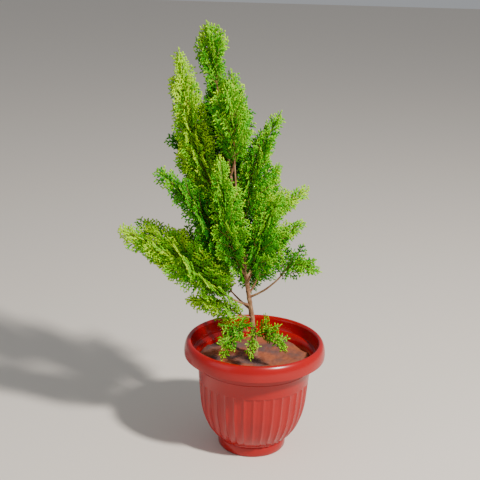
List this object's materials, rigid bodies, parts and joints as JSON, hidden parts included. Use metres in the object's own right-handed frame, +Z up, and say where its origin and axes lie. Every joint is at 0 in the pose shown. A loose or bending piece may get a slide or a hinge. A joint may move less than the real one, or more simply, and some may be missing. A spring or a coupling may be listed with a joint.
{
  "type": "potted golden oriental arborvitae",
  "caption": "Young leaning conifer with upright, flat-sprayed golden green foliage in a round fluted plastic nursery pot filled with soil.",
  "frame": {"origin": "centre of the pot's flat underside", "axes": "+Z up along the plant, +X to the right and +Y away from the viewer in the reference view"},
  "size_m": [0.3044, 0.21, 0.6356],
  "materials": {
    "pot_plastic": "semi-gloss moulded red plastic, a little dusty",
    "soil": "damp reddish-brown laterite, uneven",
    "bark": "thin reddish-brown bark, lightly furrowed",
    "foliage": "golden green scale leaves in flat sprays"
  },
  "bodies": {
    "root": {"pot": "pot_plastic", "soil": "soil", "trunk": "bark", "bough_upper_right": "bark", "bough_left_shoulder": "bark", "bough_upper_front": "bark", "bough_upper_back": "bark", "bough_right_shoulder": "bark", "bough_left_dark": "bark", "bough_left_mid": "bark", "bough_front_mid": "bark", "bough_right_mid": "bark", "bough_right_front": "bark", "bough_right_low": "bark", "bough_left_low": "bark", "bough_right_spray": "bark", "bough_left_skirt": "bark", "bough_left_under": "bark", "bough_foot_left": "bark", "bough_foot_right": "bark", "bough_foot_front": "bark", "bough_back_mid": "bark", "bough_back_left": "bark", "bough_back_right": "bark", "bough_back_low": "bark", "foliage_crown_top": "foliage", "foliage_upper_right": "foliage", "foliage_left_shoulder": "foliage", "foliage_upper_front": "foliage", "foliage_upper_back": "foliage", "foliage_right_shoulder": "foliage", "foliage_left_dark": "foliage", "foliage_left_mid": "foliage", "foliage_front_mid": "foliage", "foliage_right_mid": "foliage", "foliage_right_front": "foliage", "foliage_right_low": "foliage", "foliage_left_low": "foliage", "foliage_right_spray": "foliage", "foliage_left_skirt": "foliage", "foliage_left_under": "foliage", "foliage_foot_left": "foliage", "foliage_foot_right": "foliage", "foliage_foot_front": "foliage", "foliage_back_mid": "foliage", "foliage_back_left": "foliage", "foliage_back_right": "foliage", "foliage_back_low": "foliage"}
  },
  "joints": []
}
